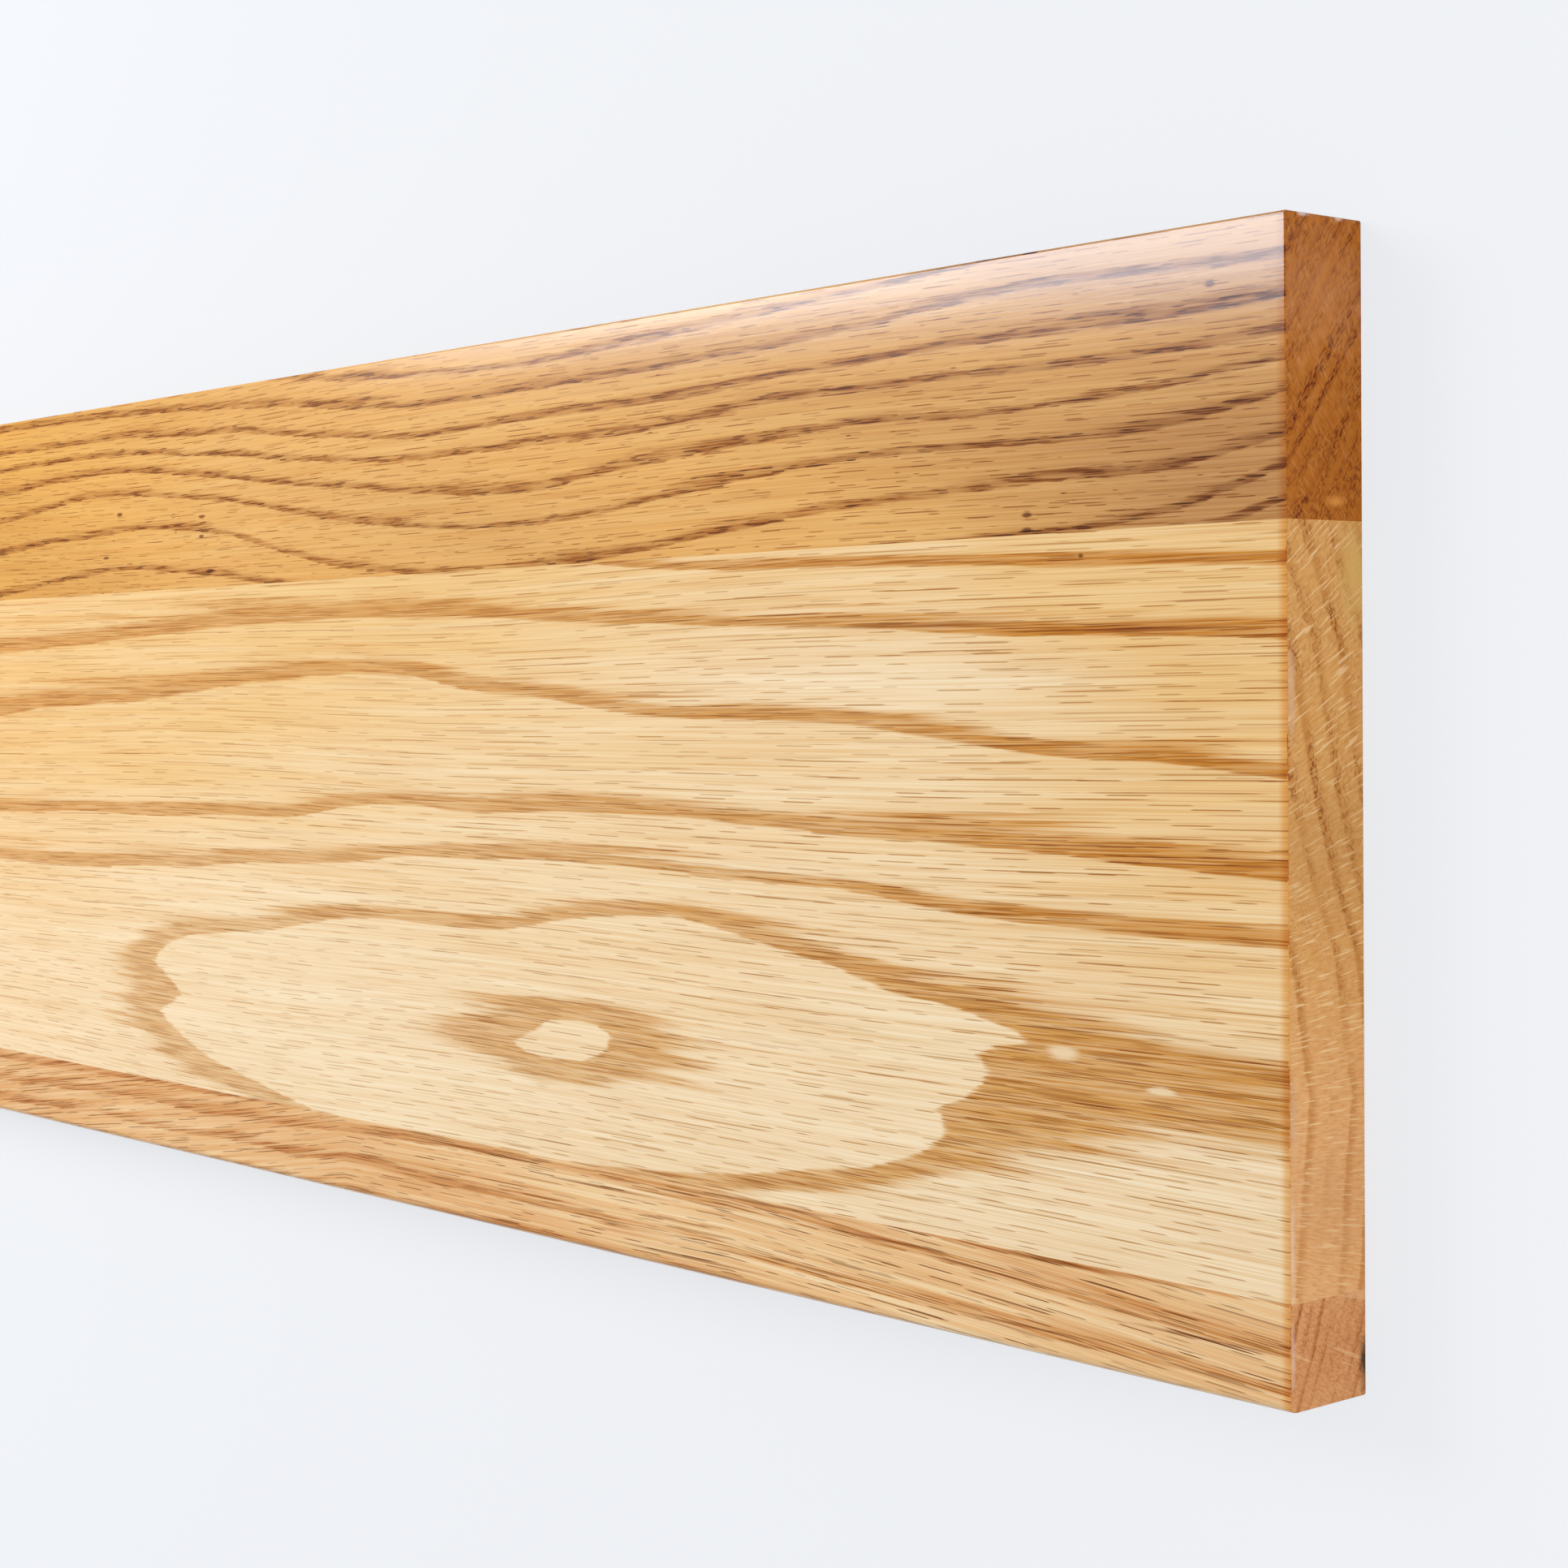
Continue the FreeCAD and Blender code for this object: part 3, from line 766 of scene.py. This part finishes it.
def make_stave(name, rounds, across_step, rings_of, ring_width, tint_of, slant, far_contrast,
               face, end, layout):
    """One stave's finished piece, in place of the plain CAD stave.

    The rounds are the radii of its lower front, upper front, upper back and lower back arrises, in mm."""
    mesh = stave_mesh(name, rounds, across_step, LONG_STEP)
    add_rings(mesh, rings_of, ring_width, tint_of, slant, far_contrast)
    plain = bpy.data.objects.new(name + "_plain", mesh)
    bpy.context.scene.collection.objects.link(plain)
    relief = plain.modifiers.new("early_wood_relief", "NODES")
    relief.node_group = RELIEF
    for socket, value in (("Depth", RELIEF_DEPTH * MM), ("Face", face), ("End", end)):
        relief[RELIEF_SOCKETS[socket]] = value
    finished = bpy.data.meshes.new_from_object(plain.evaluated_get(bpy.context.evaluated_depsgraph_get()))
    plain.modifiers.remove(relief)
    bpy.data.objects.remove(plain)
    shade_smooth(finished)
    add_bake_map(finished, *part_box(name), layout)
    stave = bpy.data.objects.new(name + "_oak", finished)
    bpy.context.scene.collection.objects.link(stave)
    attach(stave, "root")
    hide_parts(name)
    return stave


RELIEF, RELIEF_SOCKETS = early_wood_relief()

# What the lacquered faces have in common, with lengths in mm. A stave gives its own values where it differs.
# Pores of red oak are 0.2 to 0.4 mm wide, and a few mm to 20 mm long where a face cuts along them.
# Each stave adds its rays: a row height, a thickness and a length, and the level of their noise in pale and in
# deep wood.
FACE = {
    "jag": 1.1,                # how far the edge of the early wood strays
    "jag_long": 16.0,          # length of a stray
    "edge": 0.6,               # how softly the early wood starts
    "broad": (90.0, 2.6),      # length and width of broad streaks
    "cluster": 22.0,           # length of a cluster of pores
    "between": 0.85,           # how porous the early wood is between clusters
    "thread": 0.7,             # and between its threads
    "pore_level": 0.44,        # level of noise that makes a pore: a lower one gives more
    "pore_row": (0.26, 0.24),  # height of a row of pores, and how thick a pore is
    "pore_long": 18.0,         # length of a pore
    "pore_share": 0.9,         # how dark pores are
    "cream_share": 0.6,        # how pale the broad streaks are
    "line_share": 0.3,         # how dark the fibres are
    "island": [],              # marks: places along and across, length and width
    "streak": [],
    "knot": [],
}
TONES = {"band": "#DEB77C", "deep_band": "#D8AA56", "pore": "#C2A270", "ray": "#C6A270", "streak": "#C6A684",
         "hair": "#F2E6D2", "knot": "#8E6C4E", "island": "#F2D6AA", "soaked": "#F0D0A0", "golden": "#FEFAF4"}

# Cut flat across its rings, the oak is pale, with wide tan arches of fine pores and long thin rays.
middle_face = oak_face(
    "red_oak_flat_sawn_lacquered",
    {**TONES, "pale": "#FAE0B8", "deep": "#F3CA8A", "cream": "#FDEAC6"},
    {**FACE, "shift": 11.0, "rays": [(1.5, 0.28, 40.0, 0.6, 0.49), (1.2, 0.25, 13.0, 0.51, 0.55)],
     "island": [(-49.4, 53.3, 10.0, 2.4), (-27.0, 49.0, 8.0, 1.8)], "knot": [(-44.4, 138.1, 1.6, 0.9)],
     "streak": [(-85.0, 127.2, 70.0, 1.4), (-28.0, 125.4, 46.0, 1.4)]})

# With its rings more on edge, the oak is browner, with many close lines of short, coarse, dark pores.
upper_face = oak_face(
    "red_oak_close_ringed_lacquered",
    {**TONES, "pale": "#EAB266", "deep": "#C48F57", "cream": "#EEC07A", "band": "#BA9256",
     "deep_band": "#B48E5E", "pore": "#8E6A2E", "ray": "#B8926A", "golden": "#FFF8D6"},
    {**FACE, "shift": 23.0, "jag": 1.2, "jag_long": 6.0, "edge": 0.5, "cluster": 11.0, "between": 0.5,
     "thread": 0.6, "pore_level": 0.38, "pore_row": (0.42, 0.36), "pore_long": 6.0, "pore_share": 1.0,
     "cream_share": 0.4, "line_share": 0.25,
     "rays": [(1.2, 0.24, 14.0, 0.52, 0.52), (0.9, 0.2, 8.0, 0.6, 0.6)],
     "knot": [(-57.0, 145.6, 3.0, 1.5), (-57.0, 143.1, 3.4, 1.3), (-15.6, 180.7, 2.8, 1.6),
              (-337.0, 146.2, 5.0, 1.2), (-340.6, 159.6, 3.6, 1.1), (-341.0, 154.8, 3.0, 1.0),
              (-390.6, 151.4, 3.8, 1.0), (-382.8, 162.2, 3.4, 1.1)]})

# Cut along one wandering ring, the oak is orange and streaky, with dark dashes of rays.
lower_face = oak_face(
    "red_oak_streaky_lacquered",
    {**TONES, "pale": "#F4CA94", "deep": "#EAB478", "cream": "#FCE0B2", "band": "#E0BC8E",
     "deep_band": "#D8B082", "pore": "#A88658", "ray": "#8E6840", "streak": "#B8946C", "golden": "#FFFFFF"},
    {**FACE, "shift": 31.0, "jag": 1.6, "broad": (60.0, 1.1), "thread": 0.3, "pore_level": 0.42,
     "pore_row": (0.36, 0.3), "cream_share": 0.9, "line_share": 0.5,
     "rays": [(1.3, 0.32, 28.0, 0.57, 0.57), (0.8, 0.22, 12.0, 0.56, 0.56)],
     "streak": [(-52.0, 17.0, 40.0, 1.0), (-96.0, 14.6, 44.0, 0.9), (-20.0, 9.2, 40.0, 0.8),
                (-150.0, 3.0, 60.0, 0.8), (-130.0, 16.8, 60.0, 0.8), (-180.0, 13.6, 50.0, 0.8),
                (-230.0, 16.0, 60.0, 0.8), (-60.0, 4.6, 40.0, 0.7)]})

# What the sawn ends have in common. Pores, rays, hatch and patches have a length along the ring in mm, rows
# in a ring, and the limits of their noise. The hatch is of rays 0.02 mm wide, drawn coarser so that it shows.
END = {
    "pores": (0.9, 9.0, 0.5, 0.62),
    "rays": (0.4, 0.8, 0.64, 0.7),
    "hatch": (0.34, 2.2, 0.42, 0.7),
    "patches": (9.0, 1.4, 0.36, 0.56),
    "scatter": 0.25,           # share of the pores that lie outside the early wood
    "zone": (-2.0, -1.0),      # between these places the pores come in, mm from the board's lower edge
    "ray_share": 0.7,          # how pale the rays are
}

# Each end is deeper in colour than its stave's face: the middle one tan, the upper brown and the lower orange.
# The middle end's last three marks, pale pink streaks along the top of the end, are painted highlights where
# the lacquered arris by the show face catches the light.
middle_end = oak_end(
    "red_oak_sawn_end_pale",
    {"pale": "#EAB27A", "deep": "#DCA460", "band": "#E8D8C0", "hatch": "#F3E8DA", "pore": "#BC9868",
     "ray": "#F2CC94"},
    {**END, "pith": (PITH_ACROSS, PITH_ABOVE), "zone": (55.0, 95.0),
     "marks": [("#B07A40", 0.3, 90.0, 9.5, 34.0, 40.0), ("#B88050", 0.25, 32.0, 9.5, 30.0, 40.0),
               ("#D8AE64", 1.0, 134.0, 2.5, 24.0, 9.0), ("#E6C0A0", 0.9, 26.0, 18.6, 24.0, 1.8),
               ("#DCAE88", 0.8, 47.0, 18.2, 16.0, 2.4), ("#D8AC88", 0.9, 115.0, 18.2, 20.0, 2.4)]})
upper_end = oak_end(
    "red_oak_sawn_end_dark",
    {"pale": "#D08A44", "deep": "#B46A1E", "band": "#E8D8C4", "hatch": "#F2E6D8", "pore": "#9E703C",
     "ray": "#DE9E64"},
    {**END, "pith": (90.0, -60.0), "pores": (1.0, 9.0, 0.48, 0.6), "scatter": 0.55, "ray_share": 0.2,
     "marks": [("#D2905C", 0.45, 178.0, 9.5, 24.0, 40.0), ("#DC9040", 1.0, 145.2, 7.0, 2.4, 6.5),
               ("#F0DCD0", 1.0, 190.4, 15.0, 1.6, 3.8), ("#ECD4C4", 1.0, 190.4, 6.0, 1.6, 3.0)]})
# The lower end's second mark, a pale pink streak along the top of the end, is a painted highlight where the
# lacquered arris catches the light.
lower_end = oak_end(
    "red_oak_sawn_end_orange",
    {"pale": "#E0A46E", "deep": "#CE8A54", "band": "#DAC0A4", "hatch": "#F0E2D0", "pore": "#B8987A",
     "ray": "#ECBA88"},
    {**END, "pith": (40.0, 70.0), "rays": (1.3, 0.12, 0.68, 0.72), "ray_share": 0.5,
     "marks": [("#2C2622", 1.0, 5.4, 0.2, 11.0, 4.4), ("#DCB49C", 1.0, 9.0, 18.7, 14.0, 1.6)]})

# How the sides lie on each stave's map: axis, direction, strips and share of its height. The order is front,
# back, upper, lower, right end and left end, and glued sides get little.
UPPER_MAP = [(2, 1, 2, 0.5), (2, -1, 2, 0.26), (1, 1, 1, 0.1),
             (1, -1, 1, 0.02), (0, 1, 1, 0.07), (0, -1, 1, 0.05)]
MIDDLE_MAP = [(2, 1, 1, 0.52), (2, -1, 1, 0.28), (1, 1, 1, 0.02),
              (1, -1, 1, 0.02), (0, 1, 1, 0.1), (0, -1, 1, 0.06)]
LOWER_MAP = [(2, 1, 4, 0.5), (2, -1, 4, 0.26), (1, 1, 1, 0.02),
             (1, -1, 1, 0.1), (0, 1, 1, 0.07), (0, -1, 1, 0.05)]

make_stave("upper_stave", rounds=(0, ARRIS, ARRIS, 0), across_step=0.8, rings_of=upper_rings,
           ring_width=UPPER_RING, tint_of=upper_tint, slant=0.0, far_contrast=0.9,
           face=upper_face, end=upper_end, layout=UPPER_MAP)
make_stave("middle_stave", rounds=(0, 0, 0, 0), across_step=1.2, rings_of=middle_rings,
           ring_width=MIDDLE_RING, tint_of=middle_tint, slant=0.0, far_contrast=0.7,
           face=middle_face, end=middle_end, layout=MIDDLE_MAP)
make_stave("lower_stave", rounds=(LOWER_FRONT_ROUND, 0, 0, ARRIS), across_step=0.7,
           rings_of=lower_rings, ring_width=LOWER_RING, tint_of=lower_tint, slant=0.05, far_contrast=0.8,
           face=lower_face, end=lower_end, layout=LOWER_MAP)


def make_floor():
    """A matt painted floor under the board, so bright that it is almost white, with little shade. To the right
    of the board it glows more for the camera, which is painted light over the board's shadow there.
    """
    reach = 12.0
    clearance = 0.1 * MM
    level = cad_low.z - clearance
    painted_light_from, painted_light_to = RIGHT_END - 150, RIGHT_END + 250
    mesh = bpy.data.meshes.new("floor")
    mesh.from_pydata([(-reach, -reach, level), (reach, -reach, level), (reach, reach, level),
                      (-reach, reach, level)], [], [(0, 1, 2, 3)])
    material, tree = new_material("pale_studio_floor")
    paint = add(tree, "ShaderNodeBsdfDiffuse", {"Color": colour("#DADBDC")})
    bright = add(tree, "ShaderNodeEmission", {"Color": colour("#F4F6FA"), "Strength": 1.0})
    seen = add(tree, "ShaderNodeLightPath", {}, "Is Camera Ray")
    along = add(tree, "ShaderNodeSeparateXYZ", {"Vector": place_in_mm(tree)}, "X")
    # Painted light: the floor glows more for the camera to the right of the board, which fades the board's
    # shadow there.
    share = add(tree, "ShaderNodeMapRange", {"Value": along, "From Min": painted_light_from, "From Max": painted_light_to,
                                             "To Min": 0.78, "To Max": 0.94}, interpolation_type="SMOOTHSTEP")
    share = add(tree, "ShaderNodeMath", {0: seen, 1: share}, operation="MULTIPLY")
    surface = add(tree, "ShaderNodeMixShader", {0: share, 1: paint, 2: bright})
    add(tree, "ShaderNodeOutputMaterial", {"Surface": surface}, None)
    mesh.materials.append(material)
    floor = bpy.data.objects.new("floor", mesh)
    bpy.context.scene.collection.objects.link(floor)


def make_light(name, place, size, turn, power, tone, mirrored):
    """A soft panel of light. With no turn it shines straight down. The turn is in degrees about X, Y and Z.

    Only a panel that is mirrored shows as glare in the lacquer."""
    lamp = bpy.data.lights.new(name, "AREA")
    lamp.shape = "RECTANGLE"
    lamp.size, lamp.size_y = size
    lamp.energy = power
    lamp.color = colour(tone)[:3]
    light = bpy.data.objects.new(name, lamp)
    light.location = place
    light.rotation_euler = [math.radians(angle) for angle in turn]
    light.visible_glossy = mirrored
    bpy.context.scene.collection.objects.link(light)


def make_world():
    """Even pale light from all round, which the lacquer mirrors less of, as in a studio with dark walls."""
    world = bpy.data.worlds.new("studio")
    world.use_nodes = True
    tree = world.node_tree
    tree.nodes.clear()
    even = add(tree, "ShaderNodeBackground", {"Color": colour("#F6F8FC"), "Strength": 0.58})
    seen_white = add(tree, "ShaderNodeBackground", {"Color": colour("#F4F6FA"), "Strength": 1.0})
    mirrored = add(tree, "ShaderNodeBackground", {"Color": colour("#F6F8FC"), "Strength": 0.12})
    rays = add(tree, "ShaderNodeLightPath", {}, None)
    surface = add(tree, "ShaderNodeMixShader", {0: rays.outputs["Is Glossy Ray"], 1: even, 2: mirrored})
    surface = add(tree, "ShaderNodeMixShader", {0: rays.outputs["Is Camera Ray"], 1: surface, 2: seen_white})
    add(tree, "ShaderNodeOutputWorld", {"Surface": surface}, None)
    bpy.context.scene.world = world


def make_camera():
    """The photograph's camera, fitted to the board's edges."""
    lens = bpy.data.cameras.new("camera")
    lens.lens = 66.0
    lens.sensor_width = 36.0
    lens.clip_start = 0.01
    camera = bpy.data.objects.new("camera", lens)
    place = Vector((0.8246, 0.0225, 0.3750))
    right = Vector((0.6531, -0.0116, -0.7572))
    up = Vector((-0.0199, 0.9993, -0.0324))
    back = Vector((0.7570, 0.0362, 0.6524))
    turn = Matrix((right, up, back)).transposed()
    camera.matrix_world = Matrix.LocRotScale(place, turn.to_quaternion(), None)
    bpy.context.scene.collection.objects.link(camera)
    bpy.context.scene.camera = camera


make_floor()
make_world()
make_light("glare_panel", (-0.9, 0.46, 1.15), (1.3, 0.3), (0, 0, -3), 15.5, "#EAF3FF", True)
make_light("key_panel", (-0.80, 0.95, 1.15), (1.2, 0.68), (0, 0, 0), 23.0, "#FFFFFF", False)
make_light("end_panel", (2.2, -0.2, 0.35), (0.8, 0.6), (0, 82, 0), 11.9, "#FFFFFF", False)
make_camera()
bpy.context.scene.view_settings.view_transform = "Standard"
